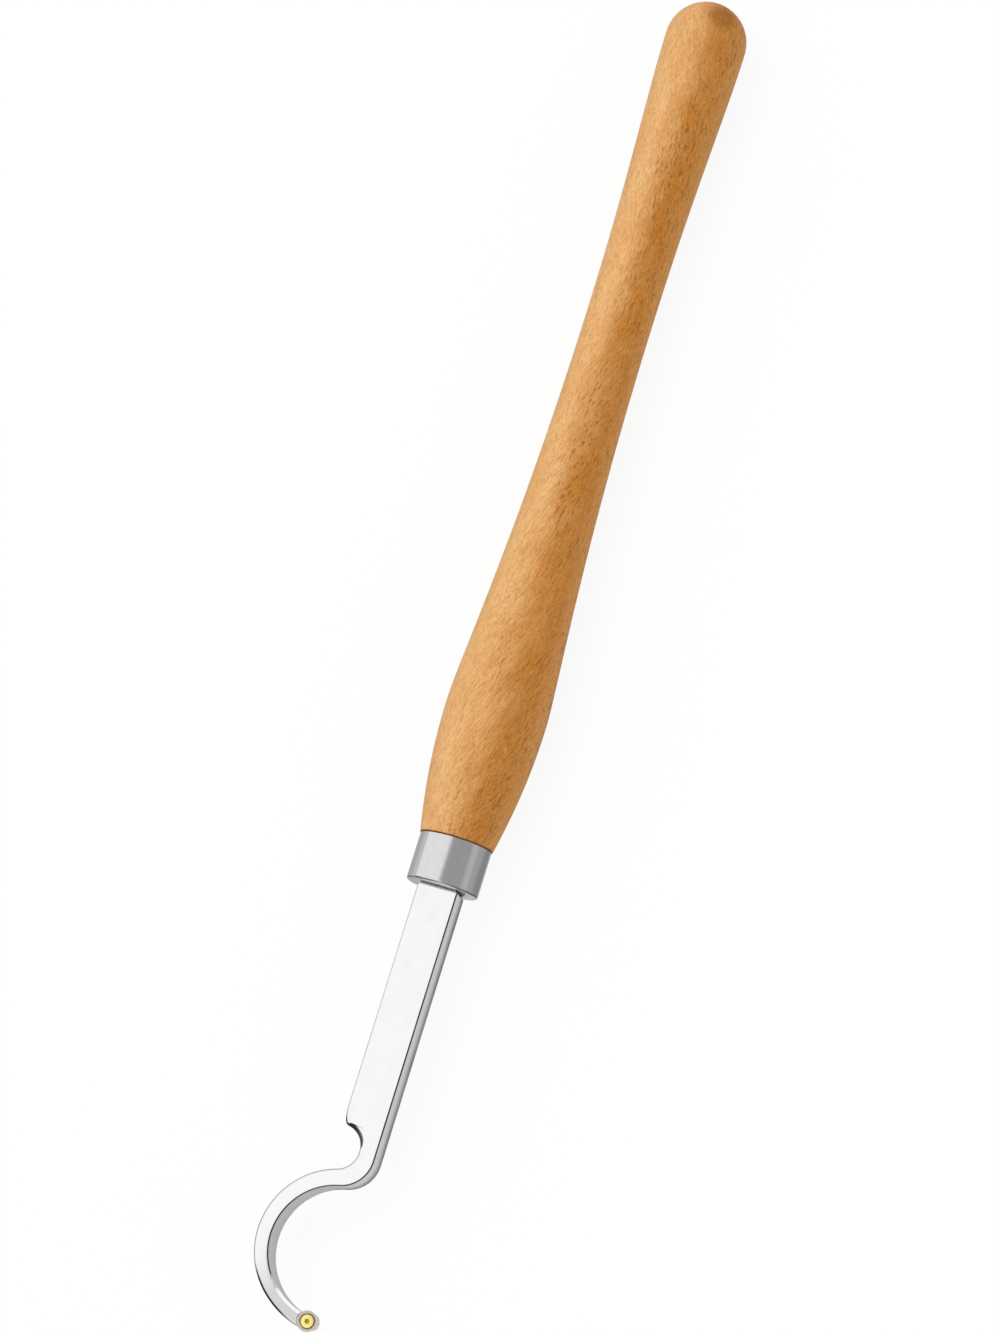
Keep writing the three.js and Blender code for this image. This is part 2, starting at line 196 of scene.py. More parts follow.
class BarLook(bpy.types.PropertyGroup):
    """Sizes and colour of the swan-neck bar"""

    arris: length("Rounding of the bar's long edges", 0.55)
    shoulder_chamfer: length("Bevel where the bar meets the ferrule", 0.9)
    tang_radius: length("Round tang inside the handle", 6.35)
    tang_chamfer: length("Bevel of the tang's end", 1.0)
    hook_outer_radius: length("Outer radius of the hook", 30.85)
    hook_aside: length("How far the hook's centre lies past the axis", 3.8)
    arm_width_neck: length("Arm where the hook leaves the bend", 6.57)
    arm_width_side: length("Arm where it is furthest from the axis", 5.6)
    arm_width_tip: length("Arm next to the cutter", 5.37)
    nose_radius: length("Rounded end under the cutter", 3.45)
    neck_width: length("Metal left beside the notch", 6.6)
    notch_radius: length("Relief notch beside the neck", 8.5)
    notch_lead_along: length("Eased corner, along the bar", 8.5)
    notch_lead_across: length("Eased corner, across the bar", 2.5)
    bend_radius: length("Outer corner of the first bend", 12.6)
    ramp_length: length("From its corner with the top face to the cutter's centre", 27.9)
    ramp_blend_radius: length("Radius that rounds the ramp's corner", 80.0)
    ramp_turn: angle("Way the ramp runs, seen from above", 45.0)
    ramp_bevel: length("Bevel on the ramp's inner edge", 1.15)
    ramp_bevel_length: length("From the bevel's full width to the cutter", 16.0)
    ramp_bevel_taper: length("Over which the bevel grows to its width", 5.5)
    nose_relief: angle("How far the nose leans back", 12.0)
    screw_hole: length("Radius of the hole under the cutter", 1.75)
    metal: colour("Ground and polished steel", 0.95, 0.95, 0.955)
    notch_bevel: length("How much wider the edge is broken in the notch", 1.0)
    hook_bevel: length("How much wider the edge is broken on the hook's outside", 0.25)
    # Colour of the painted shade: painted dark reflections along the bar's edges and at the foot of its
    # right side, and painted shadow on its shoulder
    painted_shade_metal: colour("The broken edges, which the polish missed", 0.03, 0.03, 0.03)
    # How far up the right side the painted dark reflection of the shadowed floor reaches
    foot_shade_height: length("How far the unpolished foot of the side wall rises", 11.0)


class CutterLook(bpy.types.PropertyGroup):
    """Sizes and colours of the round cutter and its screw"""

    land: length("Flat ring round the countersink", 0.85)
    clearance: angle("Lean of the cutter's side", 15.0)
    countersink_depth: length("Depth of the coned hole", 1.3)
    hole_radius: length("Hole through the cutter", 1.85)
    foot_chamfer: length("Bevel of the cutter's lower edge", 0.12)
    shank_radius: length("Thread's crest on the screw", 1.45)
    thread_depth: length("From the thread's crest to its root", 0.27)
    thread_pitch: length("Rise of one turn of thread", 0.5)
    plain_shank: length("Shank above the thread", 1.2)
    head_rim: length("Straight rim of the screw's head", 0.35)
    head_round: length("Rounding of the head's top edge", 0.12)
    end_chamfer: length("Bevel of the screw's end", 0.35)
    socket_radius: length("Middle radius of the six-lobed socket", 0.98)
    socket_lobe: length("How far the lobes stand out", 0.16)
    socket_depth: length("Depth of the socket", 1.1)
    carbide: colour("Ground face of the cutter", 0.66, 0.585, 0.555)
    gold: colour("Coated screw", 1.0, 0.86, 0.30)
    round_steps: count("Facets round the cutter and screw", 96)


class StudioLook(bpy.types.PropertyGroup):
    """The camera, the lights and the floor"""

    camera_place: vector("Where the camera stands", 0.12599, 0.26559, 1.28529)
    camera_back: vector("From the picture to the camera", 0.19598, 0.20265, 0.95944)
    camera_up: vector("The way that is up in the picture", -0.93598, -0.25314, 0.24466)
    lens: FloatProperty(description="Focal length for a 36 mm long side", default=92.703)
    floor_radius: length("How far the floor reaches", 6000.0)
    floor_colour: colour("Pale floor", 0.66, 0.66, 0.66)
    white_share: share("How far the camera sees the floor as plain white", 0.85)
    mirror_share: share("How far metal mirrors the floor without its shadow", 0.85)
    key_power: power("Soft light overhead", 9.0)
    fill_power: power("Soft light at the right", 3.0)
    lamp_size: length("Width of each soft light", 1100.0)


class ToolLook(bpy.types.PropertyGroup):
    """All settings of the hollowing tool"""

    handle: PointerProperty(type=HandleLook)
    ferrule: PointerProperty(type=FerruleLook)
    bar: PointerProperty(type=BarLook)
    cutter: PointerProperty(type=CutterLook)
    studio: PointerProperty(type=StudioLook)


class Field:
    """A socket that holds a number at each point, so that sums of it add Math nodes."""

    def __init__(self, shader, socket):
        self.shader = shader
        self.socket = socket

    def sum_of(self, operation, first, second=0.0):
        return self.shader.node("ShaderNodeMath", {"operation": operation}, {0: first, 1: second})

    def __add__(self, other):
        return self.sum_of("ADD", self, other)

    __radd__ = __add__

    def __sub__(self, other):
        return self.sum_of("SUBTRACT", self, other)

    def __rsub__(self, other):
        return self.sum_of("SUBTRACT", other, self)

    def __mul__(self, other):
        return self.sum_of("MULTIPLY", self, other)

    __rmul__ = __mul__

    def larger(self, other):
        return self.sum_of("MAXIMUM", self, other)

    def step(self, low, high):
        """0 below low and 1 above high, with a soft step between them."""
        settings = {"interpolation_type": "SMOOTHSTEP"}
        return self.shader.node(
            "ShaderNodeMapRange", settings, {"Value": self, "From Min": low, "From Max": high}
        )


class Shader:
    """A node tree that is being written, of a material or of the world."""

    def __init__(self, tree):
        self.tree = tree
        tree.nodes.clear()

    def node(self, kind, settings=None, inputs=None, out=0):
        """Adds one node. Its settings are set first, then the values or links of its sockets."""
        made = self.tree.nodes.new(kind)
        for name, value in (settings or {}).items():
            setattr(made, name, value)
        for name, value in (inputs or {}).items():
            if isinstance(value, Field):
                self.tree.links.new(value.socket, made.inputs[name])
            else:
                made.inputs[name].default_value = value
        return Field(self, made.outputs[out]) if made.outputs else made

    def noise(self, place, sizes, detail, roughness):
        """Noise over coordinates, with spots of the given sizes in millimetres."""
        units = tuple(1.0 / (size * MM) for size in sizes)
        spots = self.node("ShaderNodeVectorMath", {"operation": "MULTIPLY"}, {0: place, 1: units})
        inputs = {"Vector": spots, "Scale": 1.0, "Detail": detail, "Roughness": roughness}
        return self.node("ShaderNodeTexNoise", {"noise_dimensions": "3D"}, inputs, out="Fac")

    def grain(self, sizes, detail, roughness=0.5, turn=0.0):
        """Noise over Object coordinates, turned about the upright axis."""
        inputs = {"Vector": self.node("ShaderNodeTexCoord", out="Object"), "Rotation": (0.0, 0.0, turn)}
        turned = self.node("ShaderNodeMapping", {"vector_type": "POINT"}, inputs)
        return self.noise(turned, sizes, detail, roughness)

    def parts_of_place(self):
        """Object coordinates as three numbers."""
        here = self.node("ShaderNodeTexCoord", out="Object")
        parts = self.node("ShaderNodeSeparateXYZ", None, {0: here}).socket.node.outputs
        return Field(self, parts["X"]), Field(self, parts["Y"]), Field(self, parts["Z"])

    def mixed(self, share_of_second, first, second):
        """A colour between two colours."""
        settings = {"data_type": "RGBA", "clamp_factor": True}
        factor, colour_a, colour_b, colour_out = 0, 6, 7, 2
        inputs = {factor: share_of_second, colour_a: first, colour_b: second}
        return self.node("ShaderNodeMix", settings, inputs, out=colour_out)

    def rays(self):
        """Whether the camera sees a point, through clear matter too, and whether a mirror does."""
        kinds = self.node("ShaderNodeLightPath", out="Is Camera Ray").socket.node.outputs
        seen = Field(self, kinds["Is Camera Ray"]).larger(Field(self, kinds["Is Transmission Ray"]))
        return seen, Field(self, kinds["Is Glossy Ray"])

    def bump(self, height, distance, strength):
        inputs = {"Height": height, "Distance": distance, "Strength": strength}
        return self.node("ShaderNodeBump", None, inputs)

    def surface(self, **inputs):
        """The Principled shader, by socket names with _ for a space."""
        named = {name.replace("_", " "): value for name, value in inputs.items()}
        made = self.node("ShaderNodeBsdfPrincipled", None, named)
        self.node("ShaderNodeOutputMaterial", None, {"Surface": made})


def material(name):
    made = bpy.data.materials.new(name)
    made.use_nodes = True
    return made, Shader(made.node_tree)


def dimmed(tint, kept):
    """A colour that keeps a share of its light."""
    return tuple(kept * part for part in tint[:3]) + (1.0,)


def beech(look):
    """Oiled beech: pale and cloudy, with a deep honey streak along the grip, slanted ripples and
    short dark flecks, and darker end grain on the butt."""
    made, shader = material("oiled_beech")
    along, across, height = shader.parts_of_place()
    height = height - AXIS_HEIGHT
    front = across * math.sin(look.streak_turn) + height * math.cos(look.streak_turn)
    aside = across * math.cos(look.streak_turn) - height * math.sin(look.streak_turn)
    around = shader.node("ShaderNodeMath", {"operation": "ARCTAN2"}, {0: aside, 1: front})

    # Coordinates twisted round the axis on the bulge, so that the figure lies aslant there
    twist = -math.tan(look.grain_slant) / look.bulge_radius
    slanted_run = (along - (BUTT_END + look.waist_from_butt)).larger(0.0)
    here = shader.node("ShaderNodeTexCoord", out="Object")
    inputs = {"Vector": here, "Center": (0.0, 0.0, AXIS_HEIGHT), "Angle": slanted_run * twist}
    twisted = shader.node("ShaderNodeVectorRotate", {"rotation_type": "X_AXIS"}, inputs)

    def figure(run, girth, detail, roughness=0.55):
        return shader.noise(twisted, (run, girth, girth), detail, roughness)

    clouds = shader.grain((40, 13, 13), 3.0)
    patches = figure(17, 8, 2.5)
    ripples = figure(4, 0.8, 3.0, 0.7)
    strokes = figure(3.6, 0.65, 1.5, 0.6).step(0.52, 0.64)
    pores = figure(1.5, 0.45, 2.0)
    fibres = shader.grain((12, 0.3, 0.3), 3.0, 0.6)

    swing = around + (clouds - 0.5) * 0.3 + (patches - 0.5) * 0.2 + (ripples - 0.5) * 0.6
    streak = swing.step(-1.15, 0.0) * (1.0 - swing.step(0.15, 0.90))
    beside = swing.step(-0.2, 0.5) * (1.0 - around.step(1.5, 2.3))
    inputs = {0: here, 1: look.knot_place}
    from_knot = shader.node("ShaderNodeVectorMath", {"operation": "DISTANCE"}, inputs, out="Value")
    knot = 1.0 - (from_knot + (clouds - 0.5) * 6 * MM).step(0.3 * look.knot_reach, look.knot_reach)

    # Each layer lies over those before it
    ground = look.straw_wood
    for amount, tint in (
        (patches.step(0.28, 0.72), look.rosy_wood),
        (beside * 0.9, look.amber_wood),
        (streak * (0.80 + patches.step(0.3, 0.7) * 0.20), look.honey_wood),
        (knot * 0.9, look.end_wood),
        (ripples.step(0.45, 0.75) * 0.12, look.honey_wood),
        ((1.0 - pores.step(0.32, 0.46)) * 0.25, look.straw_wood),
        (strokes * (0.15 + streak * 0.12), look.fleck_wood),
        (pores.step(0.48, 0.68) * 0.42, look.honey_wood),
        (fibres.step(0.5, 0.75) * 0.12, look.honey_wood),
    ):
        ground = shader.mixed(amount, ground, tint)

    flecked = (0.35 + swing.step(-0.9, -0.2) * 0.65) * (1.0 - around.step(1.7, 2.6) * 0.5)
    long_flecks = figure(4.4, 0.85, 1.0).step(0.64, 0.70)
    short_flecks = figure(2.4, 0.6, 0.5).step(0.68, 0.75)
    marks = long_flecks.larger(short_flecks) * flecked * (0.3 + clouds.step(0.40, 0.55) * 0.7)
    # Painted shadow in the joint between the wood and the ferrule, in the flecks' dark colour
    painted_joint_shadow = (along - FERRULE_MOUTH).step(-0.5 * MM, -0.1 * MM)
    darkest = (marks * 0.62).larger(painted_joint_shadow * 0.95)
    shader.surface(
        Base_Color=shader.mixed(darkest, ground, look.fleck_wood),
        Roughness=0.44 + fibres * 0.10 + marks * 0.1,
        Specular_IOR_Level=0.25,
        Coat_Weight=0.05,
        Coat_Roughness=0.3,
        Normal=shader.bump(ripples * 0.4 + pores * 0.4 - strokes * 0.5 - marks, 0.2 * MM, 1.0),
    )
    return made


def turned_metal(look):
    """Bright metal with the fine rings that the lathe left, and painted dark lines: a shadow at its
    mouth and a dark reflection on its rim.
    """
    made, shader = material("turned_bright_metal")
    lines = shader.grain((0.09, 40, 40), 3.0, 0.7)
    smears = shader.grain((3, 2, 2), 3.0)
    dulled = smears.step(0.35, 0.8) * 0.5 + lines * 0.3
    bright = shader.mixed(dulled, look.metal, dimmed(look.metal, 0.9))
    along = shader.parts_of_place()[0]
    # Painted shadow in the joint at the mouth, and a painted dark reflection on the rounded rim
    mouth = 1.0 - (along - FERRULE_MOUTH).step(0.2 * MM, 0.55 * MM)
    rim_start = (along - FERRULE_END).step(-0.9 * MM, -0.6 * MM)
    rim = rim_start * (1.0 - (along - FERRULE_END).step(-0.5 * MM, -0.2 * MM))
    shader.surface(
        Base_Color=shader.mixed(mouth.larger(rim) * 0.85, bright, look.painted_shade_metal),
        Metallic=1.0,
        Roughness=0.11 + lines * 0.05 + smears * 0.03,
        Normal=shader.bump(lines, 0.0025 * MM, 0.6),
    )
    return made


def ground_steel(look):
    """Polished steel that keeps a trace of lengthwise grinding, with painted shade: painted dark
    reflections along its edges and at the foot of its right side, and painted shadow on its shoulder.
    """
    made, shader = material("ground_steel")
    lines = shader.grain((45, 0.12, 0.12), 3.0, 0.7)
    smears = shader.grain((9, 5, 5), 4.0, 0.6)
    dulled = smears.step(0.4, 0.8) * 0.4 + lines.step(0.5, 0.8) * 0.35
    polished = shader.mixed(dulled, look.metal, dimmed(look.metal, 0.93))
    # The painted shade, read from the mesh: dark reflections and shadow painted into the steel's colour
    edge = shader.node("ShaderNodeAttribute", {"attribute_name": "painted_shade"}, out="Fac")
    painted_darkening = edge * (0.9 + shader.grain((14, 30, 30), 2.0).step(0.3, 0.7) * 0.25)
    shader.surface(
        Base_Color=shader.mixed(painted_darkening, polished, look.painted_shade_metal),
        Metallic=1.0,
        Roughness=0.10 + lines * 0.05 + smears * 0.05 + edge * 0.3,
        Normal=shader.bump(lines, 0.002 * MM, 0.5),
    )
    return made


def ground_carbide(look):
    """Carbide with a fine ground face, and painted shade that darkens its coned hole."""
    made, shader = material("ground_carbide")
    grit = shader.grain((0.05, 0.05, 0.05), 3.0, 0.7)
    cuts = shader.grain((3, 0.06, 0.5), 2.0, turn=0.6)
    # A darker copy of the carbide: painted shade in the coned hole, and also the grit's random darker
    # specks
    dark = dimmed(look.carbide, 0.62)
    height = shader.parts_of_place()[2]
    below = 1.0 - (height - CUTTER_TOP).step(-0.25 * MM, -0.02 * MM)
    shader.surface(
        Base_Color=shader.mixed(below * 0.8 + grit.step(0.4, 0.8) * 0.25, look.carbide, dark),
        Metallic=1.0,
        Roughness=0.24 + grit * 0.12 + cuts * 0.08,
        Normal=shader.bump(grit + cuts, 0.002 * MM, 0.5),
    )
    return made


def gold_coat(look):
    """Gold coated screw, with painted shade that makes it deeper in colour down in its socket."""
    made, shader = material("gold_coat")
    grit = shader.grain((0.12, 0.12, 0.12), 3.0, 0.6)
    gold = look.gold
    # A deeper, darker copy of the gold: painted shade below the head's top, and also the grit's random
    # specks
    deep = (0.62 * gold[0], 0.50 * gold[1], 0.2 * gold[2], 1.0)
    height = shader.parts_of_place()[2]
    below = 1.0 - (height - HEAD_TOP).step(-0.5 * MM, -0.05 * MM)
    shader.surface(
        Base_Color=shader.mixed(below + grit.step(0.5, 0.8) * 0.2, gold, deep),
        Metallic=1.0,
        Roughness=0.16 + grit * 0.12,
        Normal=shader.bump(grit, 0.003 * MM, 0.5),
    )
    return made


def arc(centre, radius, start, end, steps):
    """Points of an arc, from its start angle to its end angle."""
    turns = (start + (end - start) * i / steps for i in range(steps + 1))
    return [Vector(centre) + radius * Vector((math.cos(turn), math.sin(turn))) for turn in turns]


def between(start, end, steps):
    return [Vector(start).lerp(Vector(end), i / steps) for i in range(steps + 1)]


def smooth_step(value, low, high):
    way = min(1.0, max(0.0, (value - low) / (high - low)))
    return way * way * (3 - 2 * way)


def joined(*stretches):
    """Stretches of a path one after the other, without the points that they share."""
    points = []
    for stretch in stretches:
        stretch = [Vector(point) for point in stretch]
        fresh = stretch if not points or (stretch[0] - points[-1]).length > MERGE else stretch[1:]
        points.extend(fresh)
    return points


def faced_outwards(bm):
    """Turns all faces outwards, by the sign of the volume that they enclose."""
    bmesh.ops.recalc_face_normals(bm, faces=bm.faces)
    if bm.calc_volume(signed=True) < 0:
        bmesh.ops.reverse_faces(bm, faces=bm.faces)


def spun(points, steps, centre, axis):
    """A bmesh of a profile turned once round an axis, where it closes on itself."""
    bm = bmesh.new()
    verts = [bm.verts.new(point) for point in points]
    edges = [bm.edges.new(pair) for pair in zip(verts, verts[1:])]
    round_axis = {"cent": centre, "axis": axis, "angle": 2 * math.pi, "steps": steps}
    bmesh.ops.spin(bm, geom=verts + edges, use_merge=True, **round_axis)
    bmesh.ops.remove_doubles(bm, verts=bm.verts, dist=MERGE)
    faced_outwards(bm)
    return bm


def spun_along(profile, steps):
    """A profile of (place, radius) turned round the tool's own axis."""
    points = [(place, 0.0, AXIS_HEIGHT + radius) for place, radius in map(Vector, profile)]
    return spun(points, steps, (0, 0, AXIS_HEIGHT), (1, 0, 0))


def spun_upright(profile, steps):
    """A profile of (radius, height) turned round the cutter's upright axis."""
    points = [(CUTTER_X + radius, 0.0, height) for radius, height in map(Vector, profile)]
    return spun(points, steps, (CUTTER_X, 0, 0), (0, 0, 1))


def placed(name, data):
    """A new object in the scene."""
    made = bpy.data.objects.new(name, data)
    bpy.context.scene.collection.objects.link(made)
    return made


def object_of(bm, name):
    mesh = bpy.data.meshes.new(name)
    bm.to_mesh(mesh)
    bm.free()
    return placed(name, mesh)


def cut(piece, bm, operation):
    """Joins a scratch solid to a piece or cuts it away, and merges the corners that then meet."""
    tool = object_of(bm, operation.lower())
    change = piece.modifiers.new(tool.name, "BOOLEAN")
    change.operation = operation
    change.solver = "EXACT"
    change.object = tool
    graph = bpy.context.evaluated_depsgraph_get()
    bm = bmesh.new()
    bm.from_mesh(piece.evaluated_get(graph).data)
    bmesh.ops.remove_doubles(bm, verts=bm.verts, dist=MERGE)
    piece.modifiers.remove(change)
    bm.to_mesh(piece.data)
    bm.free()
    bpy.data.meshes.remove(tool.data)


def finished(piece, look, body, node, crease=30.0):
    """Smooths a piece between its creases, gives it its material and sets it on its body."""
    mesh = piece.data
    mesh.materials.append(look)
    mesh.shade_smooth()
    mesh.set_sharp_from_angle(angle=math.radians(crease))
    piece.modifiers.new("even_normals", "WEIGHTED_NORMAL").keep_sharp = True
    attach(piece, body)
    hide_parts(node)


def handle_profile(look):
    """Half section of the handle, from its rounded end to the bottom of its bore."""
    belly = Vector((BUTT_END + look.butt_radius, look.butt_radius))
    waist = Vector((BUTT_END + look.waist_from_butt, look.waist_radius))
    bulge = Vector((FERRULE_MOUTH - look.bulge_from_ferrule, look.bulge_radius))
    collar = Vector((FERRULE_MOUTH, look.collar_radius))

    def stretch(start, end, leaving, arriving, fall, steps):
        run = end.x - start.x
        first = start + Vector((run * leaving, 0.0))
        last = end + Vector((-run * arriving, run * arriving * fall))
        return [Vector(point[:2]) for point in interpolate_bezier(start, first, last, end, steps)]

    butt = arc((belly.x, 0.0), look.butt_radius, math.pi, QUARTER, 28)
    grip = joined(
        stretch(belly, waist, 0.22, 0.50, 0.0, 36),
        stretch(waist, bulge, 0.58, 0.10, 0.0, 48),
        stretch(bulge, collar, 0.42, 0.25, 0.20, 30),
    )
    edge = look.collar_arris
    grip = [point for point in grip if point.x < FERRULE_MOUTH - edge]
    rounding = arc((FERRULE_MOUTH - edge, look.collar_radius - 0.9 * edge), edge, QUARTER, 0.0, 6)
    bore_end = TANG_END - look.bore_spare
    hidden = [
        (FERRULE_MOUTH, look.tenon_radius),
        (TENON_END - look.tenon_chamfer, look.tenon_radius),
        (TENON_END, look.tenon_radius - look.tenon_chamfer),
        (TENON_END, look.bore_radius),
        (bore_end, look.bore_radius),
        (bore_end, 0.0),
    ]
    return joined(butt, grip, rounding, hidden)


def ferrule_profile(look):
    """Closed half section of the ferrule: its side, its rounded rims, its end and its bore."""
    bore = FERRULE_RADIUS - look.wall
    end_inside = FERRULE_END - look.end_thickness
    mouth = look.mouth_radius
    rim = look.rim_radius
    outside = arc((FERRULE_MOUTH + mouth, FERRULE_RADIUS - mouth), mouth, math.pi, QUARTER, 5)
    far = arc((FERRULE_END - rim, FERRULE_RADIUS - rim), rim, QUARTER, 0.0, 10)
    inside = [
        (FERRULE_END, look.tang_hole),
        (end_inside, look.tang_hole),
        (end_inside, bore),
        (FERRULE_MOUTH, bore),
        outside[0],
    ]
    return joined(outside, far, inside)


class BarPlan:
    """The two long sides of the bar seen from above, and the height of its top."""

    def __init__(self, look):
        self.look = look
        half = BAR_SIDE / 2
        nose = Vector((CUTTER_X, 0.0))
        centre_run = math.sqrt((look.hook_outer_radius - look.nose_radius) ** 2 - look.hook_aside**2)
        outer = Vector((CUTTER_X - centre_run, look.hook_aside))
        inner_radius = look.hook_outer_radius - (look.arm_width_neck + look.arm_width_tip) / 2
        inner = Vector((
            outer.x + (look.arm_width_neck - look.arm_width_tip) / 2,
            outer.y - look.hook_outer_radius + look.arm_width_side + inner_radius,
        ))
        notch_y = half - look.neck_width - look.notch_radius
        notch = self.touching(outer, look.hook_outer_radius, look.notch_radius, notch_y)
        bend = self.touching(inner, inner_radius, look.bend_radius, half - look.bend_radius)
        lead_y = look.notch_lead_across - half
        lead_x = notch.x - math.sqrt(look.notch_radius**2 - (lead_y - notch.y) ** 2)
        notch_start = self.heading(notch, Vector((lead_x, lead_y)))
        notch_end = self.heading(notch, outer)
        nose_start = self.heading(outer, nose)
        gap = (nose - inner).length
        cosine = (gap**2 + inner_radius**2 - look.nose_radius**2) / (2 * gap * inner_radius)
        inner_start = self.heading(inner, nose) - math.acos(cosine)
        meeting = inner + inner_radius * Vector((math.cos(inner_start), math.sin(inner_start)))
        meeting_turn = self.heading(nose, meeting) % (2 * math.pi)
        tip_turn = (nose_start + meeting_turn) / 2
        shy = NOSE_GAP * (meeting_turn - nose_start)

        chamfer = look.shoulder_chamfer
        shoulder = FERRULE_END + chamfer
        lead_start = Vector((lead_x - look.notch_lead_along, -half))
        corner = Vector((notch.x - look.notch_radius, -half))
        lead = self.eased(lead_start, corner, Vector((lead_x, lead_y)), LEAD_STEPS)
        beside = joined(lead, arc(notch, look.notch_radius, notch_start, QUARTER, NOTCH_STEPS))
        shift = bend.x - notch.x
        last = len(beside) - 1
        opposite = [Vector((point.x + shift * i / last, half)) for i, point in enumerate(beside)]
        self.left = joined(
            between((FERRULE_END, chamfer - half), (shoulder, -half), CHAMFER_STEPS),
            between((shoulder + chamfer / 3, -half), lead_start, SHANK_STEPS),
            beside,
            arc(notch, look.notch_radius, QUARTER, notch_end, BEND_STEPS),
            arc(outer, look.hook_outer_radius, notch_end - math.pi, nose_start, HOOK_STEPS),
            arc(nose, look.nose_radius, nose_start, tip_turn - shy, NOSE_STEPS),
        )
        before_hook = joined(
            between((FERRULE_END, half - chamfer), (shoulder, half), CHAMFER_STEPS),
            between((shoulder + chamfer / 3, half), opposite[0], SHANK_STEPS),
            opposite,
            arc(bend, look.bend_radius, QUARTER, self.heading(bend, inner), BEND_STEPS),
        )
        self.right = joined(
            before_hook,
            arc(inner, inner_radius, self.heading(inner, bend), inner_start, HOOK_STEPS),
            arc(nose, look.nose_radius, meeting_turn, tip_turn + shy, NOSE_STEPS),
        )
        self.notch = notch
        self.hook_from = len(before_hook)

        # The ramp is level with the cutter's top at the edge of the cutter's pocket
        ramp_run = look.ramp_length - CUTTER_RADIUS - LOOSE_FIT
        self.ramp_angle = math.atan2(BAR_TOP - CUTTER_TOP, ramp_run)
        self.ramp_start = look.ramp_length + look.ramp_blend_radius * math.tan(self.ramp_angle / 2)

    @staticmethod
    def heading(start, end):
        return math.atan2(end.y - start.y, end.x - start.x)

    @staticmethod
    def touching(centre, radius, touching_radius, y):
        """A circle at height y that touches another from outside, on the handle's side of it."""
        reach = radius + touching_radius
        return Vector((centre.x - math.sqrt(reach**2 - (centre.y - y) ** 2), y))

    @staticmethod
    def eased(start, corner, end, steps):
        """A curve that leaves its start and reaches its end along lines through the corner."""
        ways = (i / steps for i in range(steps + 1))
        return [start.lerp(corner, way).lerp(corner.lerp(end, way), way) for way in ways]

    def along_ramp(self, point):
        """Place of a point along the ramp's run and across it, from the cutter's centre."""
        run = Vector((math.cos(self.look.ramp_turn), math.sin(self.look.ramp_turn)))
        away = point - Vector((CUTTER_X, 0.0))
        return away.dot(run), away.x * run.y - away.y * run.x

    def top(self, point):
        """Height of the bar's top above a point of the plan."""
        look = self.look
        along, across = self.along_ramp(point)
        start = along + self.ramp_start
        if start <= 0 or abs(across) > look.hook_outer_radius / 2:
            return BAR_TOP
        blend = min(start, look.ramp_blend_radius * math.sin(self.ramp_angle))
        fallen = look.ramp_blend_radius - math.sqrt(look.ramp_blend_radius**2 - blend**2)
        return BAR_TOP - fallen - (start - blend) * math.tan(self.ramp_angle)

    def bevel(self, point):
        """Width of the bevel on the arm's inner edge, 0 where it has only its arris."""
        look = self.look
        along, across = self.along_ramp(point)
        if abs(across) > look.hook_outer_radius / 2:
            return 0.0
        grown = (along + look.ramp_bevel_length + look.ramp_bevel_taper) / look.ramp_bevel_taper
        return look.ramp_bevel * min(1.0, max(0.0, grown))

    def outward(self, side, i, flip):
        """The way out of the metal at a point of one side, level and square to the side."""
        if i <= CHAMFER_STEPS:
            return Vector((0, -flip))
        run = (side[min(i + 1, len(side) - 1)] - side[i - 1]).normalized()
        return Vector((run.y, -run.x)) * flip

    def section(self, i):
        """A closed section across the bar at one station: corners rounded or bevelled."""
        look = self.look
        left, right = self.left[i], self.right[i]
        left_out = self.outward(self.left, i, 1.0)
        right_out = self.outward(self.right, i, -1.0)
        room = 0.45 * (right - left).length
        arris = min(look.arris, room)
        low = look.shoulder_chamfer * max(0.0, 1.0 - i / CHAMFER_STEPS)
        bevel = min(self.bevel(right), room)

        def rounded(point, outward, way, size=arris):
            """Inset and drop of the corner: way 0 is on the level face, 1 is on the side."""
            turn = way * QUARTER
            return point - outward * size * (1 - math.sin(turn)), size * (1 - math.cos(turn))

        def bevelled(way):
            """The right corner, which turns from the arris into the flat bevel along the ramp."""
            flat = right - right_out * bevel * (1 - way), bevel * way
            soft = rounded(right, right_out, way)
            flatness = smooth_step(bevel, 0.2 * arris, arris)
            return soft[0].lerp(flat[0], flatness), soft[1] + (flat[1] - soft[1]) * flatness

        ways = [k / CORNER_STEPS for k in range(CORNER_STEPS + 1)]
        top = self.top((left + right) / 2)
        ring = []
        # Painted shade at each point of the ring: dark reflections along the edges and at the foot,
        # shadow on the shoulder
        painted_shade = []

        def add(place, height, amount=0.0):
            ring.append((place.x, place.y, height))
            painted_shade.append(amount)

        def hump(way):
            return min(1.0, 1.6 * math.sin(math.pi * way))

        # Painted dark line along the lower edge on the hook's side
        for way in ways:
            place, rise = rounded(left, left_out, way)
            add(place, low + rise, hump(way))
        # Painted dark reflection along the top edge on the hook's side
        left_painted_shade, wider = self.left_painted_line(left, left_out)
        size = min(arris + wider, room)
        for way in reversed(ways):
            place, fall = rounded(left, left_out, way, size)
            amount = left_painted_shade * (hump(way) if way > 0 else 0.8 * left_painted_shade**3)
            add(place, self.top(place) - low - fall, amount)
        edge_left, edge_right = left - left_out * (size + EDGE_STRIP), bevelled(0.0)[0]
        for k in (0.0, 0.25, 0.5, 0.75):
            place = edge_left.lerp(edge_right, k)
            add(place, self.top(place) - low)
        # Painted dark reflection along the right top edge, fading out where the ramp's bevel grows
        line = 1.0 - smooth_step(bevel, 0.0, 0.5 * arris)
        for way in ways:
            place, fall = bevelled(way)
            add(place, self.top(place) - low - fall, line * hump(way))
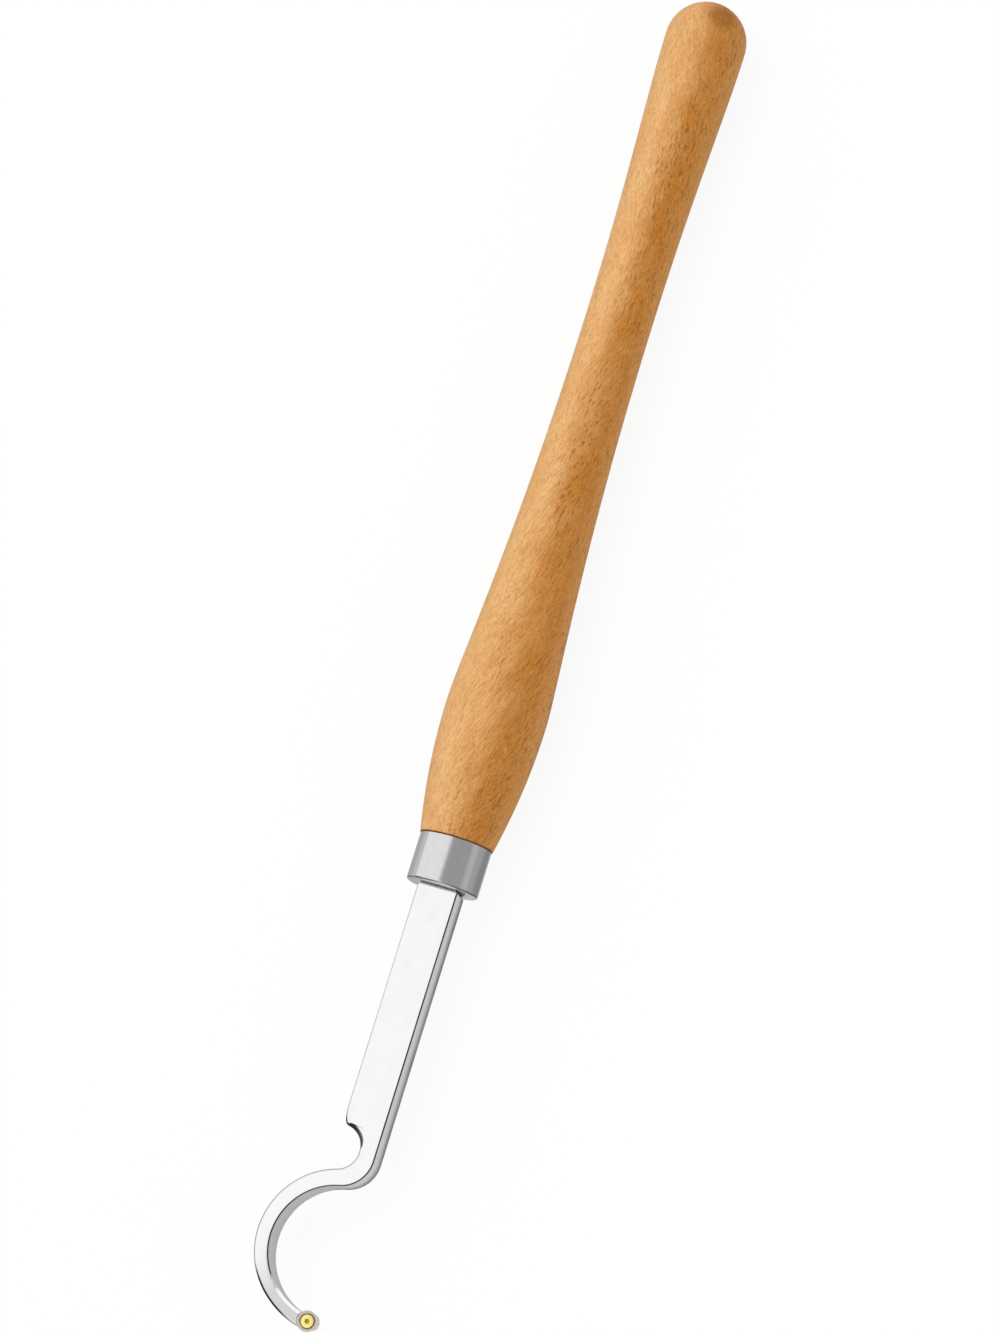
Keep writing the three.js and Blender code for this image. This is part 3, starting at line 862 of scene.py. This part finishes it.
        # Painted dark reflection of the shadowed floor on the foot of the right side, darkest at the
        # bottom and fading along the hook
        foot = FOOT_PAINTED_SHADE * max(FOOT_LEAST, 1.0 - max(0, i - self.hook_from) / FOOT_FADE_STEPS)
        shade_top = min(look.foot_shade_height, 0.7 * top)
        for k in (1.0, 0.8, 0.6, 0.4, 0.2):
            add(right, low + arris + k * (shade_top - arris), foot * (1.0 - smooth_step(k, 0.10, 1.0)))
        for way in list(reversed(ways))[1:]:
            place, rise = rounded(right, right_out, way)
            add(place, low + rise, foot)
        # On the shoulder's sections, painted shadow in the gap at the ferrule, darkest on the right
        # side
        if i <= CHAMFER_STEPS:
            right_side = [SHOULDER_SIDE_PAINTED_SHADOW if abs(y - right.y) < MERGE else 0.0 for _, y, _ in ring]
            painted_shade = [max(SHOULDER_PAINTED_SHADOW[i], amount) for amount in right_side]
        return ring, painted_shade

    def left_painted_line(self, point, outward):
        """How dark the painted dark reflection on the top edge is on the hook's side, and how much
        wider the edge is broken: black and wide down into the notch, black on the quarter of the hook
        that looks away from the handle, and light elsewhere."""
        look = self.look
        if point.x < self.notch.x:
            turn = math.degrees(math.atan2(outward.y, outward.x))
            inside = smooth_step(point.y + BAR_SIDE / 2, 0.6 * MM, 4.5 * MM)
            wider = look.notch_bevel * inside * smooth_step(turn, -88, -52)
            return 0.35 + 0.65 * smooth_step(turn, -88, -72), wider
        facing = outward.dot(Vector((0.73, -0.68)))
        dark = smooth_step(facing, 0.90, 0.98)
        return 0.6 + 0.4 * dark, look.hook_bevel * dark


def capped_ring(bm, points):
    """A ring of edges that one face closes."""
    verts = [bm.verts.new(point) for point in points]
    edges = [bm.edges.new(pair) for pair in zip(verts, verts[1:] + verts[:1])]
    bmesh.ops.contextual_create(bm, geom=edges)
    return verts, edges


def carried_on(bm, verts, edges, points):
    """Extrudes a ring and moves its new vertices to the next section's points."""
    place = {vert: point for vert, point in zip(verts, points)}
    made = bmesh.ops.extrude_edge_only(bm, edges=edges)["geom"]
    fresh = {item for item in made if isinstance(item, bmesh.types.BMVert)}
    new_of = {}
    for vert in fresh:
        old = next(edge.other_vert(vert) for edge in vert.link_edges if edge.other_vert(vert) in place)
        new_of[old] = vert
        vert.co = place[old]
    ring = [new_of[vert] for vert in verts]
    return ring, [bm.edges.get(pair) for pair in zip(ring, ring[1:] + ring[:1])]


def bar_mesh(look):
    """The bar, carried from its shoulder to its nose section by section."""
    plan = BarPlan(look)
    bm = bmesh.new()
    # Painted shade at each vertex: dark reflections and shadow for the steel's colour
    painted_shade = bm.verts.layers.float.new("painted_shade")
    for i in range(len(plan.left)):
        points, amounts = plan.section(i)
        if i == 0:
            verts, edges = capped_ring(bm, points)
        else:
            verts, edges = carried_on(bm, verts, edges, points)
        for vert, amount in zip(verts, amounts):
            vert[painted_shade] = amount
    bmesh.ops.contextual_create(bm, geom=edges)
    lean = look.nose_relief
    tip = (CUTTER_X + look.nose_radius, 0.0, SEAT_HEIGHT)
    way = (math.cos(lean), 0.0, -math.sin(lean))
    whole = bm.verts[:] + bm.edges[:] + bm.faces[:]
    relief = bmesh.ops.bisect_plane(bm, geom=whole, plane_co=tip, plane_no=way, clear_outer=True)
    rim = [item for item in relief["geom_cut"] if isinstance(item, bmesh.types.BMEdge)]
    bmesh.ops.contextual_create(bm, geom=rim)
    faced_outwards(bm)
    return bm


def tang_profile(look):
    reach = FERRULE_END + OVERRUN
    return [
        (TANG_END, 0.0),
        (TANG_END, look.tang_radius - look.tang_chamfer),
        (TANG_END + look.tang_chamfer, look.tang_radius),
        (reach, look.tang_radius),
        (reach, 0.0),
    ]


def pocket_profile(look):
    """Round pocket for the cutter, with the screw's hole under it."""
    pocket = CUTTER_RADIUS + LOOSE_FIT
    return [
        (0.0, -OVERRUN),
        (look.screw_hole, -OVERRUN),
        (look.screw_hole, SEAT_HEIGHT),
        (pocket, SEAT_HEIGHT),
        (pocket, BAR_TOP + OVERRUN),
        (0.0, BAR_TOP + OVERRUN),
    ]


def cutter_profile(look):
    lean = (CUTTER_TOP - SEAT_HEIGHT) * math.tan(look.clearance)
    foot = CUTTER_RADIUS - lean
    start = (look.hole_radius, SEAT_HEIGHT)
    return [
        start,
        (foot - look.foot_chamfer, SEAT_HEIGHT),
        (foot, SEAT_HEIGHT + look.foot_chamfer),
        (CUTTER_RADIUS, CUTTER_TOP),
        (CUTTER_RADIUS - look.land, CUTTER_TOP),
        (look.hole_radius, CUTTER_TOP - look.countersink_depth),
        start,
    ]


def screw_profile(look):
    """Half section of the screw without its thread, from its end to the middle of its head."""
    root = look.shank_radius - look.thread_depth
    cone_rise = look.countersink_depth / (CUTTER_RADIUS - look.land - look.hole_radius)
    rim_foot = HEAD_TOP - look.head_rim
    cone_foot = rim_foot - (HEAD_RADIUS - look.shank_radius) * cone_rise
    thread_end = cone_foot - look.plain_shank
    rounding = look.head_round
    head = arc((HEAD_RADIUS - rounding, HEAD_TOP - rounding), rounding, 0.0, QUARTER, 5)
    shank = [
        (0.0, SCREW_FOOT),
        (root - look.thread_depth, SCREW_FOOT),
        (root, SCREW_FOOT + look.thread_depth),
        (root, thread_end),
        (look.shank_radius, thread_end + look.thread_depth),
        (look.shank_radius, cone_foot),
        (HEAD_RADIUS, rim_foot),
    ]
    return joined(shank, head, [(0.0, HEAD_TOP)]), thread_end


def thread_mesh(look, top):
    """The screw's thread: a three-sided section carried up a helix."""
    foot = look.shank_radius - look.thread_depth - THREAD_SUNK
    half = 0.42 * look.thread_pitch
    low = SCREW_FOOT + look.end_chamfer + half
    turns = (top - low) / look.thread_pitch
    steps = int(turns * THREAD_STEPS)
    bm = bmesh.new()
    section = [(foot, low - half), (look.shank_radius, low), (foot, low + half)]
    verts = [bm.verts.new((CUTTER_X + radius, 0.0, height)) for radius, height in section]
    face = bm.faces.new(verts)
    helix = {"dvec": (0, 0, look.thread_pitch * turns / steps), "angle": 2 * math.pi * turns}
    bmesh.ops.spin(bm, geom=[face], cent=(CUTTER_X, 0, 0), axis=(0, 0, 1), steps=steps, **helix)
    faced_outwards(bm)
    return bm


def socket_mesh(look):
    """The six-lobed socket as a solid to cut away, with a coned floor."""
    bm = bmesh.new()
    points = []
    for i in range(SOCKET_STEPS):
        turn = 2 * math.pi * i / SOCKET_STEPS
        radius = look.socket_radius + look.socket_lobe * math.cos(SOCKET_LOBES * turn)
        points.append((CUTTER_X + radius * math.cos(turn), radius * math.sin(turn), HEAD_TOP + OVERRUN))
    verts, edges = capped_ring(bm, points)
    low = [(x, y, HEAD_TOP - look.socket_depth) for x, y, _ in points]
    verts, edges = carried_on(bm, verts, edges, low)
    tip = [(CUTTER_X + 0.02 * (x - CUTTER_X), 0.02 * y, z - SOCKET_CONE) for x, y, z in low]
    verts, edges = carried_on(bm, verts, edges, tip)
    bmesh.ops.contextual_create(bm, geom=edges)
    faced_outwards(bm)
    return bm


class Step:
    """What the steps share: each works from the settings of the scene."""

    def execute(self, context):
        self.make(context.scene.hollowing_tool)
        return {"FINISHED"}


class DressHandle(Step, bpy.types.Operator):
    """Turns the beech handle"""

    bl_idname = "hollowing.dress_handle"
    bl_label = "Turn the handle"

    def make(self, tool):
        look = tool.handle
        handle = object_of(spun_along(handle_profile(look), look.turned_steps), "turned_handle")
        finished(handle, beech(look), "tool", "handle")


class DressFerrule(Step, bpy.types.Operator):
    """Turns the ferrule"""

    bl_idname = "hollowing.dress_ferrule"
    bl_label = "Fit the ferrule"

    def make(self, tool):
        look = tool.ferrule
        ferrule = object_of(spun_along(ferrule_profile(look), look.turned_steps), "bright_ferrule")
        finished(ferrule, turned_metal(look), "tool", "ferrule")


class DressBar(Step, bpy.types.Operator):
    """Shapes the swan-neck bar with its ramp, its cutter pocket and its tang"""

    bl_idname = "hollowing.dress_bar"
    bl_label = "Shape the bar"

    def make(self, tool):
        look = tool.bar
        steps = tool.cutter.round_steps
        bar = object_of(bar_mesh(look), "swan_neck_bar")
        cut(bar, spun_along(tang_profile(look), steps), "UNION")
        cut(bar, spun_upright(pocket_profile(look), steps), "DIFFERENCE")
        finished(bar, ground_steel(look), "tool", "tool_bar")


class DressCutter(Step, bpy.types.Operator):
    """Makes the round cutter"""

    bl_idname = "hollowing.dress_cutter"
    bl_label = "Seat the cutter"

    def make(self, tool):
        look = tool.cutter
        cutter = object_of(spun_upright(cutter_profile(look), look.round_steps), "round_cutter")
        finished(cutter, ground_carbide(look), "cutter", "carbide_cutter", crease=20.0)


class DressScrew(Step, bpy.types.Operator):
    """Makes the countersunk screw with its thread and its socket"""

    bl_idname = "hollowing.dress_screw"
    bl_label = "Drive the screw"

    def make(self, tool):
        look = tool.cutter
        profile, thread_end = screw_profile(look)
        screw = object_of(spun_upright(profile, look.round_steps), "countersunk_screw")
        cut(screw, thread_mesh(look, thread_end), "UNION")
        cut(screw, socket_mesh(look), "DIFFERENCE")
        finished(screw, gold_coat(look), "clamp_screw", "cutter_screw")


def floor_material(look):
    """Pale floor that the camera sees as nearly plain white, with the object's shadow kept. Metal
    mirrors it grey near the object, white far off at the left and darker at the right."""
    made, shader = material("pale_floor")
    seen, mirrored = shader.rays()
    pale = shader.mixed(shader.grain((40, 40, 40), 2.0) * 0.02, look.floor_colour, WHITE)
    matt = shader.node("ShaderNodeBsdfDiffuse", None, {"Color": pale, "Roughness": 0.5})
    across = shader.parts_of_place()[1]
    left = 1.0 - across.step(-120 * MM, -50 * MM)
    right = across.step(14 * MM, 26 * MM)
    far_right = across.step(30 * MM, 90 * MM)
    near_light = 0.47 + across.step(-10 * MM, 8 * MM) * 0.14
    mirrored_light = near_light + left * 0.20 - right * 0.37 + far_right * 0.15
    strength = seen * 1.06 + mirrored * mirrored_light
    white = shader.node("ShaderNodeEmission", None, {"Color": WHITE, "Strength": strength})
    share_of_white = seen * look.white_share + mirrored * look.mirror_share
    both = shader.node("ShaderNodeMixShader", None, {0: share_of_white, 1: matt, 2: white})
    shader.node("ShaderNodeOutputMaterial", None, {"Surface": both})
    return made


def studio_world():
    """White to the camera. On the object, a broad bright sky over the left side and behind the
    handle, a greyer one over the right, and dark low down at the left past the cutter."""
    world = bpy.data.worlds.new("studio")
    bpy.context.scene.world = world
    world.use_nodes = True
    shader = Shader(world.node_tree)
    way = shader.node("ShaderNodeTexCoord", out="Generated")

    def towards(x, y, z):
        inputs = {0: way, 1: (x, y, z)}
        return shader.node("ShaderNodeVectorMath", {"operation": "DOT_PRODUCT"}, inputs, out="Value")

    right_sky = towards(-0.45, 0.89, 0.0).step(-0.11, 0.12)
    handle_sky = towards(-1.0, 0.0, 0.0).step(0.35, 0.65)
    upright = towards(0.0, 0.0, 1.0)
    grey = 0.40 + (1.0 - upright.step(0.25, 0.50)) * 0.16
    light = 1.0 - right_sky * (1.0 - handle_sky) * (1.0 - grey)
    dark = towards(0.64, -0.77, 0.0).step(0.70, 0.92) * (1.0 - upright.step(0.18, 0.42))
    seen = shader.rays()[0]
    strength = seen + (1.0 - seen) * light * (1.0 - dark * 0.9)
    sky = shader.node("ShaderNodeBackground", None, {"Color": WHITE, "Strength": strength})
    shader.node("ShaderNodeOutputWorld", None, {"Surface": sky})


def studio_camera(look):
    data = bpy.data.cameras.new("camera")
    data.lens = look.lens
    data.sensor_width = 36.0
    data.clip_start = 0.05
    data.clip_end = 20.0
    camera = placed("camera", data)
    back = Vector(look.camera_back).normalized()
    right = Vector(look.camera_up).cross(back).normalized()
    turn = Matrix((right, back.cross(right), back)).transposed().to_4x4()
    camera.matrix_world = Matrix.Translation(look.camera_place) @ turn
    bpy.context.scene.camera = camera


def soft_light(look, name, watts, place):
    """One large soft light, which only the matt share of a surface sees."""
    data = bpy.data.lights.new(name, "AREA")
    data.shape = "DISK"
    data.size = look.lamp_size
    data.energy = watts
    lamp = placed(name, data)
    lamp.location = place
    lamp.rotation_mode = "QUATERNION"
    lamp.rotation_quaternion = (LAMP_AIM - place).to_track_quat("-Z", "Y")
    lamp.visible_glossy = False
    lamp.visible_camera = False


class BuildStudio(Step, bpy.types.Operator):
    """Sets up the camera, the floor and the light"""

    bl_idname = "hollowing.build_studio"
    bl_label = "Build the studio"

    def make(self, tool):
        look = tool.studio
        bpy.context.scene.view_settings.view_transform = "Standard"
        studio_camera(look)
        studio_world()
        soft_light(look, "key", look.key_power, Vector((-0.30, -0.55, 1.60)))
        soft_light(look, "fill", look.fill_power, Vector((-0.10, 1.10, 0.90)))
        bm = bmesh.new()
        bmesh.ops.create_circle(bm, cap_ends=True, segments=96, radius=look.floor_radius)
        bmesh.ops.translate(bm, verts=bm.verts, vec=(0, 0, LOWEST - 0.2 * MM))
        floor = object_of(bm, "studio_floor")
        floor.data.materials.append(floor_material(look))


class ToolPanel(bpy.types.Panel):
    """Lists the steps that dress the hollowing tool"""

    bl_idname = "VIEW3D_PT_hollowing_tool"
    bl_label = "Hollowing Tool"
    bl_space_type = "VIEW_3D"
    bl_region_type = "UI"
    bl_category = "Hollowing Tool"

    def draw(self, context):
        for step in STEPS:
            self.layout.operator(step.bl_idname)
        tool = context.scene.hollowing_tool
        for group in (tool.handle, tool.ferrule, tool.bar, tool.cutter, tool.studio):
            box = self.layout.box()
            for name in group.__annotations__:
                box.prop(group, name, text=name.replace("_", " ").capitalize())


STEPS = (BuildStudio, DressHandle, DressFerrule, DressBar, DressCutter, DressScrew)
CLASSES = (HandleLook, FerruleLook, BarLook, CutterLook, StudioLook, ToolLook, *STEPS, ToolPanel)


def register():
    for made in CLASSES:
        bpy.utils.register_class(made)
    bpy.types.Scene.hollowing_tool = PointerProperty(type=ToolLook)


def unregister():
    del bpy.types.Scene.hollowing_tool
    for made in reversed(CLASSES):
        bpy.utils.unregister_class(made)


def main():
    """Dresses the tool step by step."""
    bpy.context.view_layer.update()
    register()
    bpy.ops.hollowing.build_studio()
    bpy.ops.hollowing.dress_handle()
    bpy.ops.hollowing.dress_ferrule()
    bpy.ops.hollowing.dress_bar()
    bpy.ops.hollowing.dress_cutter()
    bpy.ops.hollowing.dress_screw()


if __name__ == "__main__":
    main()
